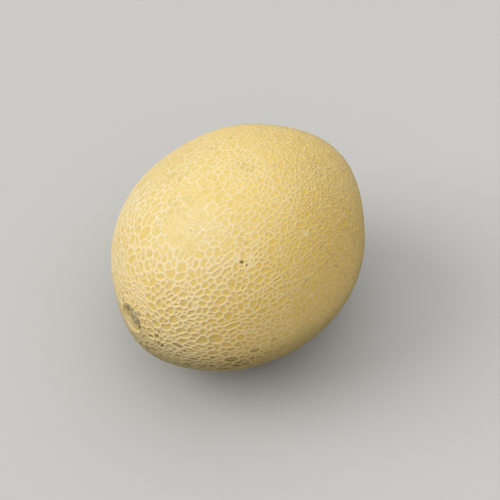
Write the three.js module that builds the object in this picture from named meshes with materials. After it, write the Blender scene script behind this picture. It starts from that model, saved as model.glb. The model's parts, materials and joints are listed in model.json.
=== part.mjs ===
// A ripe cantaloupe melon lying on its side, in millimetres with +Z up.
// +X points to the blossom end and -X to the stem end. The origin is on the flat spot it rests on,
// under the middle of the melon.
// The rind is one solid: a smooth body, a net of raised cork ridges all over it, the round scar where
// the stem slipped off, and the small button where the flower was.
import * as THREE from "three";
import { ConvexHull } from "three/addons/math/ConvexHull.js";

// Body
const HALF_LENGTH = 81; // middle to either end, before the swells
const HALF_GIRTH = 70.2; // radius across the middle
const MIDDLE_HEIGHT = 69.4; // less than the girth, so that the underside is pressed flat
// Each swell lifts the skin along its own direction, fading out over its reach.
const SWELLS = [
  { toward: [0.9, -0.11, 0.42], height: 4.2, reach: 50 }, // blossom end drawn out and up
  { toward: [-0.88, 0, -0.47], height: 2.6, reach: 50 }, // stem end drawn out and down
  { toward: [-0.67, -0.46, -0.59], height: -1.4, reach: 55 }, // flatter cheek under the stem end
  { toward: [-0.88, 0.45, 0.05], height: -1.4, reach: 45 }, // flatter beside the stem scar
  { toward: [0.08, 0.68, 0.73], height: -1.5, reach: 45 }, // flatter shoulder
  { toward: [-0.36, -0.88, -0.31], height: -1.3, reach: 38 }, // flatter flank
  { toward: [0.36, -0.92, -0.14], height: 0.9, reach: 45 }, // fuller flank
];

// Each scar's profile is a list of distances from its middle and heights above the skin around it. The
// net runs round it in rings of cells: how far from the middle each ring is, and how many cells it has.
const STEM_SCAR = {
  toward: [-0.992, 0.091, 0.056],
  profile: [[0, -1.2], [2.6, -1.3], [4.4, -2.6], [7.6, -2.4], [9.8, 1.1], [15, 0]],
  rimRadius: 9.3,
  rings: [[6.6, 8], [12.6, 15], [19, 17]],
};
const BLOSSOM_SCAR = {
  toward: [0.995, -0.06, 0.05],
  profile: [[0, 0.5], [1.6, 0.4], [2.8, -0.7], [4.6, -0.6], [6, 0.7], [10, 0]],
  rimRadius: 5.8,
  rings: [[4.2, 7], [8.4, 12], [14, 14]],
};
const SCARS = [STEM_SCAR, BLOSSOM_SCAR];
const SCAR_BOLDNESS = 0.25; // of the net inside a scar's rim, as a share of that round it
const NET_CLEARANCE = 5.5; // from a scar's outermost ring of cells to the middles of the free ones

// Net, larger than life so that each ridge keeps its own faces
const FREE_CELLS = 620;
const BLOSSOM_END_CROWDING = 1.7; // cells for one area there, for each one at the stem end
const CREST_HEIGHT = 1.5; // ridge crest above the skin, at its boldest
const RIDGE_HALF_WIDTH = 1.7; // likewise
const BLOSSOM_END_BOLDNESS = 0.62; // of the ridges there, as a share of those at the stem end
const WORN_CROWN = { toward: [-0.45, 0.12, 0.88], reach: 62, boldness: 0.5 }; // ridges nearly level there
const LARGEST_RIDGE_SHARE = 0.5; // of a cell's own radius, so that no cell closes up
const SHORTEST_CREST = 1.1; // shorter crests are drawn out to this
const RELAX_ROUNDS = 3;
const RANDOM_SEED = 11;

const RIND_COLOUR = 0xdcc58a;
const RIND_ROUGHNESS = 0.75;

const unit = (xyz) => new THREE.Vector3(...xyz).normalize();
const easeInOut = (t) => t * t * (3 - 2 * t);
const blend = THREE.MathUtils.lerp;

const onSpheroid = (direction) =>
  new THREE.Vector3(direction.x * HALF_LENGTH, direction.y * HALF_GIRTH, direction.z * HALF_GIRTH);

// Distance across the rind from a marked place, such as a scar, to the skin in a direction
const distanceFrom = (place, direction) => onSpheroid(direction).distanceTo(onSpheroid(unit(place.toward)));

// 1 in the middle of a place and 0 beyond its reach
const nearness = (place, direction) =>
  easeInOut(Math.max(0, 1 - distanceFrom(place, direction) / place.reach));

// Height of a scar's profile at a distance from its middle
function profileHeight(profile, distance) {
  const next = profile.findIndex(([at]) => at > distance);
  if (next < 0) return 0;
  const [[from, low], [to, high]] = [profile[next - 1], profile[next]];
  return blend(low, high, easeInOut((distance - from) / (to - from)));
}

// Outward direction of the rind
const skinNormal = (direction) =>
  new THREE.Vector3(
    direction.x / HALF_LENGTH, direction.y / HALF_GIRTH, direction.z / HALF_GIRTH,
  ).normalize();

// A point of the rind, a height above its smooth skin, in a unit direction from the middle of the melon
function rindPoint(direction, height = 0) {
  const point = onSpheroid(direction);
  for (const swell of SWELLS) {
    point.addScaledVector(unit(swell.toward), swell.height * nearness(swell, direction));
  }
  const relief = SCARS.reduce((sum, scar) =>
    sum + profileHeight(scar.profile, distanceFrom(scar, direction)), height);
  return point.addScaledVector(skinNormal(direction), relief);
}

// How bold the ridges are in a direction, up to 1
function boldness(direction) {
  if (SCARS.some((scar) => distanceFrom(scar, direction) < scar.rimRadius)) return SCAR_BOLDNESS;
  const along = blend(1, BLOSSOM_END_BOLDNESS, easeInOut((direction.x + 1) / 2));
  return along * blend(1, WORN_CROWN.boldness, nearness(WORN_CROWN, direction));
}

// Repeatable random numbers from 0 to 1
function seededRandom(seed) {
  let state = seed;
  return () => {
    state = (state + 0x6d2b79f5) | 0;
    let mixed = Math.imul(state ^ (state >>> 15), 1 | state);
    mixed = (mixed + Math.imul(mixed ^ (mixed >>> 7), 61 | mixed)) ^ mixed;
    return ((mixed ^ (mixed >>> 14)) >>> 0) / 2 ** 32;
  };
}

// The middles of the cells on a scar: one in its middle, and rings of them round it
function scarMiddles(scar) {
  const middle = unit(scar.toward);
  const across = new THREE.Vector3(0, 0, 1).cross(middle).normalize();
  const up = middle.clone().cross(across);
  const ring = ([radius, count], ringNumber) => Array.from({ length: count }, (_, i) => {
    const turn = (2 * Math.PI * (i + ringNumber / 2)) / count;
    return middle.clone()
      .addScaledVector(across, (radius / HALF_GIRTH) * Math.cos(turn))
      .addScaledVector(up, (radius / HALF_GIRTH) * Math.sin(turn))
      .normalize();
  });
  return [middle, ...scar.rings.flatMap(ring)];
}

// The middles of the other cells, scattered over the rind and closer together at the blossom end
function freeMiddles() {
  const random = seededRandom(RANDOM_SEED);
  const isClear = (direction) => SCARS.every((scar) =>
    distanceFrom(scar, direction) > scar.rings.at(-1)[0] + NET_CLEARANCE);
  const middles = [];
  while (middles.length < FREE_CELLS) {
    const x = 2 * random() - 1;
    const turn = 2 * Math.PI * random();
    const radius = Math.sqrt(1 - x * x);
    const direction = new THREE.Vector3(x, radius * Math.cos(turn), radius * Math.sin(turn));
    const crowding = blend(1, BLOSSOM_END_CROWDING, (x + 1) / 2);
    if (random() * BLOSSOM_END_CROWDING < crowding && isClear(direction)) middles.push(direction);
  }
  return middles;
}

// The net between a set of cell middles: the corners where three crests meet, as unit directions, and
// for each cell the numbers of the corners in order round it
function netBetween(middles) {
  const numberOf = new Map(middles.map((middle, i) => [middle, i]));
  const stepsRound = middles.map(() => new Map());
  const corners = new ConvexHull().setFromPoints(middles).faces.map((face, corner) => {
    const [a, b, c] = [0, 1, 2].map((i) => numberOf.get(face.getEdge(i).head().point));
    stepsRound[a].set(b, { corner, next: c });
    stepsRound[b].set(c, { corner, next: a });
    stepsRound[c].set(a, { corner, next: b });
    return face.normal.clone().normalize();
  });
  const cells = stepsRound.map((steps) => {
    const loop = [];
    const start = steps.keys().next().value;
    let at = start;
    do {
      const { corner, next } = steps.get(at);
      loop.push(corner);
      at = next;
    } while (at !== start);
    return loop;
  });
  return { corners, cells };
}

const middleOf = (directions) =>
  directions.reduce((sum, direction) => sum.add(direction), new THREE.Vector3()).normalize();

// Draws out the crests that are too short to keep faces of their own
function drawOutShortCrests({ corners, cells }) {
  for (const loop of cells) {
    loop.forEach((corner, i) => {
      const [start, end] = [corners[corner], corners[loop[(i + 1) % loop.length]]];
      const along = end.clone().sub(start);
      const missing = SHORTEST_CREST / HALF_GIRTH - along.length();
      if (missing > 0) {
        along.normalize();
        start.addScaledVector(along, -missing / 2).normalize();
        end.addScaledVector(along, missing / 2).normalize();
      }
    });
  }
}

// The melon's net: the free cells are spread out a little, so that they differ in size but none is a sliver
function melonNet() {
  const fixed = SCARS.flatMap(scarMiddles);
  let free = freeMiddles();
  let net = netBetween([...fixed, ...free]);
  for (let round = 0; round < RELAX_ROUNDS; round += 1) {
    free = net.cells.slice(fixed.length).map((loop) => middleOf(loop.map((corner) => net.corners[corner])));
    net = netBetween([...fixed, ...free]);
  }
  drawOutShortCrests(net);
  return net;
}

// One closed surface: in each cell the ridges slope from the crest round it to a floor of bare skin
function netSurface({ corners, cells }) {
  const positions = [];
  const triangles = [];
  const vertex = (point) => positions.push(point.x, point.y, point.z) / 3 - 1;
  const crests = corners.map((direction) =>
    vertex(rindPoint(direction, CREST_HEIGHT * boldness(direction))));
  for (const loop of cells) {
    const directions = loop.map((corner) => corners[corner]);
    const middle = middleOf(directions);
    const radius = HALF_GIRTH
      * directions.reduce((sum, direction) => sum + direction.distanceTo(middle), 0) / loop.length;
    const share = Math.min((RIDGE_HALF_WIDTH * boldness(middle)) / radius, LARGEST_RIDGE_SHARE);
    const feet = directions.map((direction) =>
      vertex(rindPoint(direction.clone().lerp(middle, share).normalize())));
    loop.forEach((corner, i) => {
      const j = (i + 1) % loop.length;
      const [crest, nextCrest] = [crests[corner], crests[loop[j]]];
      triangles.push(crest, nextCrest, feet[j], crest, feet[j], feet[i]);
      if (i > 0 && j > 0) triangles.push(feet[0], feet[i], feet[j]);
    });
  }
  return { positions, triangles };
}

// Sets the melon down on z = 0, with everything that would reach lower pressed flat
function setDown(positions) {
  return positions.map((value, i) => (i % 3 === 2 ? Math.max(value + MIDDLE_HEIGHT, 0) : value));
}

function melonGeometry() {
  const { positions, triangles } = netSurface(melonNet());
  const geometry = new THREE.BufferGeometry();
  geometry.setAttribute("position", new THREE.Float32BufferAttribute(setDown(positions), 3));
  geometry.setIndex(triangles);
  geometry.computeVertexNormals();
  return geometry;
}

const rind = new THREE.MeshStandardMaterial({ color: RIND_COLOUR, roughness: RIND_ROUGHNESS, metalness: 0 });
const melon = new THREE.Mesh(melonGeometry(), rind);
melon.name = "melon";

const cantaloupe = new THREE.Group();
cantaloupe.add(melon);

export default cantaloupe;
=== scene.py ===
"""A ripe cantaloupe melon on a pale studio floor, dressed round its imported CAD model, in metres.

The rind is one closed mesh, drawn net first, the way a young melon's skin cracks as it swells. Loose
points on a ball become coarse cells. Each cell cracks across again and again until it is as small as the
real ones are at that place. Every crack heals as a ridge of cork: an early one broad and high, a late one
as a thin line. The net is then wrapped round the melon's body, and its two scars are worked into it.
"""
import json
import logging
import math
import random
from dataclasses import dataclass, field
from enum import Enum

import bmesh
import bpy
import numpy as np
from mathutils import Matrix, Vector, noise

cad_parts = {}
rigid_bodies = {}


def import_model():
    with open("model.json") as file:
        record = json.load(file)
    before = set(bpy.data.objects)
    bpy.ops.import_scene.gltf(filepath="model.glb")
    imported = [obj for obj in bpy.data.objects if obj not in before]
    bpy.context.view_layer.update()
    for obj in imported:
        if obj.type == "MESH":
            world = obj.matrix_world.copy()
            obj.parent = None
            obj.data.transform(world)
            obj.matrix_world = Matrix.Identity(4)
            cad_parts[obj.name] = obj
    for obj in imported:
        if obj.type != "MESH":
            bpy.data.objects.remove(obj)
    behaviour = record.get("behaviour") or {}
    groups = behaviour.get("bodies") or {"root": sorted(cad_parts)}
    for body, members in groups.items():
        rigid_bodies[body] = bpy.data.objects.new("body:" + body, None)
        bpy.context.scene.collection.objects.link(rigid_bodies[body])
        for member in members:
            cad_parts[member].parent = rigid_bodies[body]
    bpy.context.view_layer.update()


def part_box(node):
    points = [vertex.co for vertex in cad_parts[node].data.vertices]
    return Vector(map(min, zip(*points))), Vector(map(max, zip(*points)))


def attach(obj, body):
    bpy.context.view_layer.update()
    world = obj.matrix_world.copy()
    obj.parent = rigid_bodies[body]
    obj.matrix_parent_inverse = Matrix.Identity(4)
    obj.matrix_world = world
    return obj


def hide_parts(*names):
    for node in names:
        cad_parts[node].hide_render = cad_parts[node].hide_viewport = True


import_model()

MM = 0.001
BAKE_MAP = "OFBake"  # the name of the rind's own flat map
NO_WIDTH = 0.01 * MM  # of an inset that only makes corners, which are then set one by one
POINT_SIZE = 0.0001  # of the tiny circle on the ball that is merged into one point

# Each finer layer of a fractal noise is half as wide as the last, and half as strong
NOISE_FADE = 1.0
NOISE_STEP = 2.0

# The mesh's layers: a ridge's age on its edges, and the others on its vertices
AGE_LAYER = "ridge_age"
HEIGHT_LAYER = "height"
CORK_LAYER = "cork"
# How pale the skin is: partly worn skin, partly a painted highlight
PALE_LAYER = "pale"
# Soil and specks, and painted shade in holes, in the scars' grooves and in the low cells
DIRT_AND_SHADE_LAYER = "dirt_and_shade"
SCAR_LAYER = "scar"

log = logging.getLogger("melon")


class RidgeAge(Enum):
    """When a ridge's crack opened. Its value is what its edges are marked with."""

    TRACK = 1
    FIRST = 2
    SECOND = 3
    THIRD = 4


# Half width and height of each age of ridge, as shares of the boldest
WIDTH_SHARE = {RidgeAge.TRACK: 1.0, RidgeAge.FIRST: 0.95, RidgeAge.SECOND: 0.8, RidgeAge.THIRD: 0.6}
HEIGHT_SHARE = {RidgeAge.TRACK: 1.0, RidgeAge.FIRST: 1.0, RidgeAge.SECOND: 0.9, RidgeAge.THIRD: 0.7}


def linear(colour: str) -> tuple[float, float, float, float]:
    """Turns an sRGB colour into the linear one that Blender's sockets hold.

    Args:
        colour: six hex digits, such as "f0e0c0".

    Returns:
        Linear red, green, blue and an alpha of 1.
    """
    values = [int(colour[i:i + 2], 16) / 255 for i in (0, 2, 4)]
    red, green, blue = (v / 12.92 if v <= 0.04045 else ((v + 0.055) / 1.055) ** 2.4 for v in values)
    return red, green, blue, 1.0


def ease(t: np.ndarray) -> np.ndarray:
    """Eases values from 0 to 1 in and out, as the CAD source does."""
    return t * t * (3 - 2 * t)


def unit(vectors: np.ndarray) -> np.ndarray:
    """Scales vectors to length 1, along their last axis."""
    vectors = np.asarray(vectors, float)
    return vectors / np.linalg.norm(vectors, axis=-1, keepdims=True)


def add_node(
    tree: bpy.types.NodeTree,
    kind: str,
    inputs: dict[int | str, object] | None = None,
    **settings: object,
) -> bpy.types.Node:
    """Adds a node with its settings and links.

    Args:
        tree: the node tree that it goes into.
        kind: Blender's name for the kind of node.
        inputs: for each input socket, a socket to link from or a value to hold.
        settings: properties of the node itself.

    Returns:
        The new node.
    """
    node = tree.nodes.new(kind)
    for name, value in settings.items():
        setattr(node, name, value)
    for socket, value in (inputs or {}).items():
        if isinstance(value, bpy.types.NodeSocket):
            tree.links.new(value, node.inputs[socket])
        else:
            node.inputs[socket].default_value = value
    return node


@dataclass(frozen=True)
class Spot:
    """A place on the rind, in a direction from the middle, that fades out over a reach in metres."""

    toward: tuple[float, float, float]
    reach: float


@dataclass(frozen=True)
class Swell(Spot):
    """A gentle swelling or hollow of the body, which lifts the skin along its own direction."""

    height: float


@dataclass(frozen=True)
class Zone(Spot):
    """A place where the ridges stand out more or less, the skin is paler, or the cells grow larger. The
    paler skin is partly worn and partly a painted highlight.
    """

    relief: float
    paleness: float = 0.0
    cell_growth: float = 0.0


@dataclass(frozen=True)
class Pit(Spot):
    """A small hole in the rind."""

    depth: float


@dataclass(frozen=True)
class Scar:
    """A round scar in the rind: where it is, how its surface dips and rises, and how the net meets it.

    profile lists distances from its middle and heights above the skin around it, in metres. rim is its
    radius, and rings are the radii and numbers of the net's first points round it. A patch of bare fibre
    lies in it, given by its middle, the way its fibres run and its half length and width.
    """

    toward: tuple[float, float, float]
    profile: tuple[tuple[float, float], ...]
    rim: float
    rings: tuple[tuple[float, int], ...]
    crowding_reach: float
    patch_way: tuple[float, float, float]
    patch_middle: tuple[float, float, float]
    patch_size: tuple[float, float]
    pits: tuple[Pit, ...]

    def relief(self, distance: np.ndarray) -> np.ndarray:
        """Gives the height of the profile at distances from the middle.

        Args:
            distance: distances across the skin, in metres.

        Returns:
            Heights, in metres, and 0 past the profile's end.
        """
        height = np.zeros_like(distance)
        for (start, low), (end, high) in zip(self.profile, self.profile[1:]):
            inside = (distance >= start) & (distance < end)
            share = ease((distance[inside] - start) / (end - start))
            height[inside] = low + (high - low) * share
        return height


@dataclass(frozen=True)
class Body:
    """The melon's smooth body under its net: a spheroid with swells, pressed flat where it rests."""

    half_length: float
    half_girth: float
    middle_height: float
    swells: tuple[Swell, ...]
    scars: tuple[Scar, ...]

    @property
    def half_axes(self) -> np.ndarray:
        """Gives the spheroid's half axes along X, Y and Z."""
        return np.array((self.half_length, self.half_girth, self.half_girth))

    def distance(self, directions: np.ndarray, toward: tuple[float, float, float]) -> np.ndarray:
        """Measures straight across the spheroid from a marked direction.

        Args:
            directions: unit directions from the middle, one a row.
            toward: the marked direction.

        Returns:
            Distances in metres.
        """
        return np.linalg.norm((directions - unit(toward)) * self.half_axes, axis=-1)

    def nearness(self, directions: np.ndarray, spot: Spot) -> np.ndarray:
        """Gives 1 in the middle of a spot, falling to 0 at its reach."""
        return ease(np.clip(1 - self.distance(directions, spot.toward) / spot.reach, 0, 1))

    def wrap(self, directions: np.ndarray, heights: np.ndarray) -> np.ndarray:
        """Puts points of the net on the body, set down on the floor.

        Args:
            directions: unit directions from the middle, one a row.
            heights: how far each stands above the smooth skin, in metres.

        Returns:
            Points in the row frame, one a row.
        """
        points = directions * self.half_axes
        for swell in self.swells:
            lift = swell.height * self.nearness(directions, swell)
            points = points + np.outer(lift, unit(swell.toward))
        outward = unit(directions / self.half_axes)
        relief = heights + sum(
            scar.relief(self.distance(directions, scar.toward)) for scar in self.scars)
        points = points + outward * relief[:, None]
        points[:, 2] = np.maximum(points[:, 2] + self.middle_height, 0)
        return points


STEM_SCAR = Scar(
    toward=(-0.992, 0.091, 0.056),
    profile=tuple((r * MM, h * MM) for r, h in
                  ((0, -0.5), (3, -0.5), (5.8, -1.1), (8, -0.7), (9.8, 0.9), (15, 0))),
    rim=9.3 * MM,
    rings=((16.8 * MM, 22), (22 * MM, 26)),
    crowding_reach=26 * MM,
    patch_way=(0.0, 0.705, 0.709),
    patch_middle=(-0.985, 0.075, 0.09),
    patch_size=(9.5 * MM, 4.4 * MM),
    pits=(
        Pit((-0.975, 0.129, 0.176), 3.4 * MM, 2.0 * MM),
        Pit((-0.981, 0.185, 0.060), 2.8 * MM, 1.8 * MM),
        Pit((-0.999, 0.004, -0.008), 1.8 * MM, 0.9 * MM),
    ),
)
BLOSSOM_SCAR = Scar(
    toward=(0.995, -0.06, 0.05),
    profile=tuple((r * MM, h * MM) for r, h in
                  ((0, 0.6), (1.6, 0.5), (2.8, -0.6), (4.4, -0.6), (6, 0.6), (10, 0))),
    rim=5.6 * MM,
    rings=((10.4 * MM, 16), (14.5 * MM, 20)),
    crowding_reach=18 * MM,
    patch_way=(0.0, 0.6, 0.8),
    patch_middle=(0.995, -0.06, 0.05),
    patch_size=(2.6 * MM, 2.2 * MM),
    pits=(),
)


# The smooth body's half axes and the height of its middle, as shares of the CAD node's box
HALF_LENGTH_SHARE = 0.4819
HALF_GIRTH_SHARE = 0.4917
MIDDLE_HEIGHT_SHARE = 0.4936


def melon_body(low: Vector, high: Vector) -> Body:
    """Works out the smooth body from the CAD node's box, which its own net and swells stand out to.

    Args:
        low: the box's lowest corner.
        high: its highest corner.

    Returns:
        The body, with the CAD source's swells and scars.
    """
    size = high - low
    return Body(
        half_length=size.x * HALF_LENGTH_SHARE,
        half_girth=size.y * HALF_GIRTH_SHARE,
        middle_height=size.z * MIDDLE_HEIGHT_SHARE,
        swells=(
            Swell((0.9, -0.11, 0.42), 50 * MM, 4.2 * MM),
            Swell((-0.88, 0, -0.47), 50 * MM, 2.6 * MM),
            Swell((-0.67, -0.46, -0.59), 55 * MM, -1.4 * MM),
            Swell((-0.88, 0.45, 0.05), 45 * MM, -1.4 * MM),
            Swell((0.08, 0.68, 0.73), 45 * MM, -1.5 * MM),
            Swell((-0.36, -0.88, -0.31), 38 * MM, -1.3 * MM),
            Swell((0.36, -0.92, -0.14), 45 * MM, 0.9 * MM),
        ),
        scars=(STEM_SCAR, BLOSSOM_SCAR),
    )


@dataclass
class CorkNet:
    """The melon's rind as one mesh: a net of ridges and the cells of bare skin between them."""

    body: Body
    seed: int = 11

    # First points and coarse cells, on a ball with a radius of 1
    ball_fineness: int = 5
    seed_share: float = 0.45  # of the ball's points that are kept
    jitter: float = 0.05
    squeeze: float = 0.75
    relax_rounds: int = 2
    smoothing: float = 0.5  # how far a corner moves to the middle of its neighbours, in each round

    # Area of cells in mm2, height of ridges as a share and their half width in mm, from the stem end
    # at -1 to the blossom end at 1
    cell_along: tuple[tuple[float, float], ...] = (
        (-1, 20), (-0.75, 24), (-0.4, 15.5), (0, 12.5), (0.4, 10), (0.7, 8.5), (1, 8.5))
    relief_along: tuple[tuple[float, float], ...] = (
        (-1, 0.8), (-0.7, 0.46), (-0.38, 0.29), (0, 0.32), (0.35, 0.54), (0.6, 0.8), (1, 0.8))
    half_width_along: tuple[tuple[float, float], ...] = (
        (-1, 0.9), (-0.7, 0.82), (-0.4, 0.67), (0, 0.55), (0.4, 0.5), (1, 0.46))
    # Paleness here is partly worn skin and partly a painted highlight on the lit upper side
    zones: tuple[Zone, ...] = (
        Zone((-0.50, 0.03, 0.865), 44 * MM, 0.1, 1.0, 0.3),
        Zone((-0.22, 0.36, 0.91), 78 * MM, 0.36, 0.65, 1.1),
        Zone((-0.45, 0.62, 0.65), 48 * MM, 1.7, 0.6),
        Zone((-0.75, 0.45, 0.5), 50 * MM, 0.6, 0.35),
        Zone((-0.86, -0.49, -0.10), 62 * MM, 1.3),
        Zone((0.25, -0.85, 0.45), 75 * MM, 2.0),
        Zone((-0.62, -0.74, -0.25), 45 * MM, 1.4),
        Zone((-0.64, -0.66, -0.4), 42 * MM, 1.6, 0.0, 0.3),
        Zone((-0.2, -0.92, -0.25), 50 * MM, 2.0, 0.0, 0.3),
    )

    # Long cracks: two that show well, and strays along the melon
    tracks: tuple[tuple[tuple[float, float, float], tuple[float, float, float]], ...] = (
        ((-0.658, -0.109, 0.745), (-0.226, -0.171, 0.959)),
        ((-0.667, -0.668, 0.328), (0.291, -0.829, 0.478)),
    )
    stray_tracks: int = 16
    stray_starts: tuple[float, float] = (-0.75, 0.35)  # on the scale from stem end to blossom end
    stray_drift: float = 0.05
    track_length: tuple[float, float] = (24 * MM, 60 * MM)
    track_reach: float = 12 * MM  # how near a cell's middle lies for a long crack to cut it

    # Cracking: how large cells grow, and where a crack runs
    shown_side: tuple[float, float, float] = (-0.43, -0.42, 0.8)
    hidden_growth: float = 0.8  # of the cells' area, on the side turned away from the shown one
    hidden_steepness: float = 1.4
    hidden_lead: float = 0.15
    scar_cell: float = 8.5 * MM**2
    cell_spread: float = 0.35
    grain: float = 1.25
    scar_grain: float = 1.7
    crack_tries: int = 7
    crack_offset: float = 0.1
    least_roundness: float = 0.5
    corner_margin: float = 0.8 * MM
    elbow_length: float = 3.2 * MM
    elbow_bend: float = 0.07

    # Settling
    settle_rounds: int = 2
    shortest_side: float = 0.6 * MM
    longest_side: float = 3 * MM
    longest_bold_side: float = 2 * MM
    wander: float = 0.3 * MM
    wander_scale: float = 3.4 * MM

    # Ridges
    boldest_height: float = 0.9 * MM
    narrowing: float = 0.48  # round the scars
    low_width_share: float = 0.42  # of a ridge with no height
    width_by_relief: float = 1.9
    width_spread: tuple[float, float] = (0.85, 1.15)
    unevenness: float = 0.35
    uneven_scale: float = 6 * MM
    least_shouldered: float = 0.63 * MM  # half width
    shoulder_reach: float = 0.58
    shoulder_height: float = 0.88
    shoulder_cork: float = 0.96
    deepest_share: float = 0.7  # of the way to the cell's middle, past which no ridge comes
    corner_rounding: float = 0.12
    inward_lean: float = 0.35  # of a ridge's corner toward the cell's middle
    least_slant: float = 0.45  # at a sharp corner, past which its ridges reach no further in
    fold_rounds: int = 8
    drawn_back: float = 0.7
    worn_away: float = 0.85
    wear_scale: float = 11 * MM
    wear_swing: float = 1.3
    wear_by_paleness: float = 1.2
    healed_scale: float = 5 * MM
    healed_contrast: float = 5
    healed_rarity: float = 3.1
    healed_height: float = 0.5

    # Scar floors: how ragged the patch of fibre is, its strands, crumbs, and the folds round it
    scar_rings: int = 15
    scar_corner: float = 0.75 * MM
    patch_edge: float = 1.2  # where the fibre has faded out, as a share of its half length or width
    patch_fade: float = 0.4
    raggedness: float = 0.35
    ragged_scale: float = 2.2 * MM
    strand: tuple[float, float] = (4 * MM, 0.9 * MM)
    strand_layers: int = 3
    strand_height: float = 0.6 * MM
    gap_slope: float = -2
    gap_start: float = 0.2
    deepest_gap: float = 0.7
    crumb: float = 1.1 * MM
    crumb_layers: int = 2
    crumb_height: float = 0.18 * MM
    fold: tuple[float, float] = (2.2 * MM, 9 * MM)
    fold_height: float = 0.9 * MM
    fold_narrowness: float = 6
    # Painted shade in the grooves between folds
    fold_groove_shade: float = 0.5
    pit_steepness: float = 1.6

    # Holes, darkened with painted shade; soil, and painted shade in the low cells; calluses and specks
    pit_lip_depth: float = 0.3
    # Painted shade on a hole's lip
    pit_lip_shade: float = 0.1
    widest_pit: float = 0.6
    cell_pits: tuple[Pit, ...] = (
        Pit((-0.956, 0.165, 0.241), 2 * MM, 0.5 * MM),
        Pit((-0.964, 0.238, 0.119), 2 * MM, 0.4 * MM),
        Pit((-0.982, -0.170, 0.080), 1.6 * MM, 1.0 * MM),
        Pit((-0.987, -0.161, 0.017), 1.6 * MM, 0.8 * MM),
        Pit((-0.964, -0.243, 0.111), 1.6 * MM, 0.6 * MM),
        Pit((-0.980, -0.198, -0.011), 1.6 * MM, 0.7 * MM),
        Pit((-0.981, 0.010, 0.193), 1.6 * MM, 0.6 * MM),
        Pit((-0.403, -0.524, 0.750), 0.8 * MM, 0.6 * MM),
        Pit((-0.411, -0.555, 0.723), 0.8 * MM, 0.5 * MM),
    )
    # Where cells get darker floors: real soil near the stem, and painted shade low down
    soiled_and_shaded: tuple[Spot, ...] = (
        Spot((-0.93, -0.3, -0.2), 55 * MM),
        Spot((-0.55, -0.78, -0.3), 48 * MM),
    )
    most_soil_and_shade: float = 0.75
    stray_soil: float = 0.1
    # Painted shade laid across the floors of the low cells
    painted_shade_spot: Spot = Spot((-0.68, -0.62, -0.4), 44 * MM)
    painted_shade_amount: float = 0.6
    calluses: tuple[Spot, ...] = (
        Spot((-0.378, -0.572, 0.728), 4.2 * MM),
        Spot((-0.44, -0.46, 0.77), 3.6 * MM),
    )
    specks: tuple[tuple[float, float, float], ...] = (
        (-0.623, 0.134, 0.77), (-0.068, -0.932, 0.356), (0.136, -0.789, 0.599), (0.123, -0.876, 0.467),
        (0.272, 0.348, 0.897), (0.383, 0.313, 0.869), (-0.079, 0.556, 0.827), (0.311, 0.075, 0.948),
        (0.118, -0.049, 0.992), (-0.351, 0.142, 0.925), (-0.446, 0.237, 0.863), (0.358, -0.932, 0.058),
    )
    stray_specks: int = 18
    speck_darkness: tuple[float, float] = (0.7, 1.0)

    # Where the two discs of the flat map lie in its square
    disc_radius: float = 0.28
    disc_margin: float = 0.012

    rind: bpy.types.Object = field(init=False)
    draw: random.Random = field(init=False)

    def __post_init__(self) -> None:
        """Starts the random draw and the noise, which would start from the clock if left alone."""
        self.draw = random.Random(self.seed)
        noise.seed_set(self.seed)

    def build(self) -> bpy.types.Object:
        """Makes the rind.

        Returns:
            The finished object.
        """
        self.scatter()
        self.grow_cells()
        self.lay_on_spheroid()
        for start, end in self.tracks + self.draw_strays():
            self.draw_track(start, end)
        net = bmesh.new()
        net.from_mesh(self.rind.data)
        scar_cells = self.crack(net)
        self.soften(net, scar_cells)
        self.raise_ridges(net)
        for scar, cell in zip(self.body.scars, scar_cells):
            self.fill_scar(net, cell, scar)
        net.to_mesh(self.rind.data)
        net.free()
        self.wrap()
        self.lay_out_map()
        return self.rind

    def scatter(self) -> None:
        """Scatters the first points over a ball, with rings of them round each scar."""
        bpy.ops.object.select_all(action="DESELECT")
        bpy.ops.mesh.primitive_ico_sphere_add(subdivisions=self.ball_fineness, radius=1)
        self.rind = bpy.context.object
        self.rind.name = "melon_rind"
        bpy.ops.object.mode_set(mode="EDIT")
        bpy.ops.mesh.select_mode(type="VERT")
        bpy.ops.mesh.select_all(action="DESELECT")
        bpy.ops.mesh.select_random(ratio=1 - self.seed_share, seed=self.seed)
        bpy.ops.mesh.delete(type="VERT")
        bpy.ops.mesh.select_all(action="SELECT")
        bpy.ops.transform.vertex_random(offset=self.jitter, uniform=1, normal=0, seed=self.seed)
        bpy.ops.object.mode_set(mode="OBJECT")
        for scar in self.body.scars:
            self.ring_round(scar)
        self.onto_ball()

    def ring_round(self, scar: Scar) -> None:
        """Clears the first points round a scar and sets rings of them there.

        Args:
            scar: the scar.
        """
        mesh = self.rind.data
        outer = scar.rings[-1][0] + self.wander_scale
        near = self.body.distance(self.directions(), scar.toward) < outer
        bpy.ops.object.mode_set(mode="EDIT")
        bpy.ops.mesh.select_all(action="DESELECT")
        bpy.ops.object.mode_set(mode="OBJECT")
        mesh.vertices.foreach_set("select", near)
        bpy.ops.object.mode_set(mode="EDIT")
        bpy.ops.mesh.delete(type="VERT")
        toward = Vector(scar.toward).normalized()
        turn = toward.to_track_quat("Z", "Y").to_euler()
        bpy.ops.mesh.primitive_circle_add(vertices=3, radius=POINT_SIZE, location=toward, rotation=turn)
        bpy.ops.mesh.merge(type="CENTER")
        for number, (radius, count) in enumerate(scar.rings):
            share = radius / self.body.half_girth
            half_step = Matrix.Rotation(number * math.pi / count, 3, toward)
            bpy.ops.mesh.primitive_circle_add(
                vertices=count,
                radius=share,
                location=toward * math.sqrt(1 - share**2),
                rotation=(half_step @ turn.to_matrix()).to_euler(),
            )
        bpy.ops.object.mode_set(mode="OBJECT")

    def directions(self) -> np.ndarray:
        """Gives the unit direction of each vertex from the middle, while the net is still a ball."""
        return unit(np.array([vertex.co for vertex in self.rind.data.vertices]))

    def onto_ball(self) -> None:
        """Pushes every vertex onto the unit ball."""
        self.rind.data.vertices.foreach_set("co", self.directions().ravel())
        self.rind.data.update()

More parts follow.
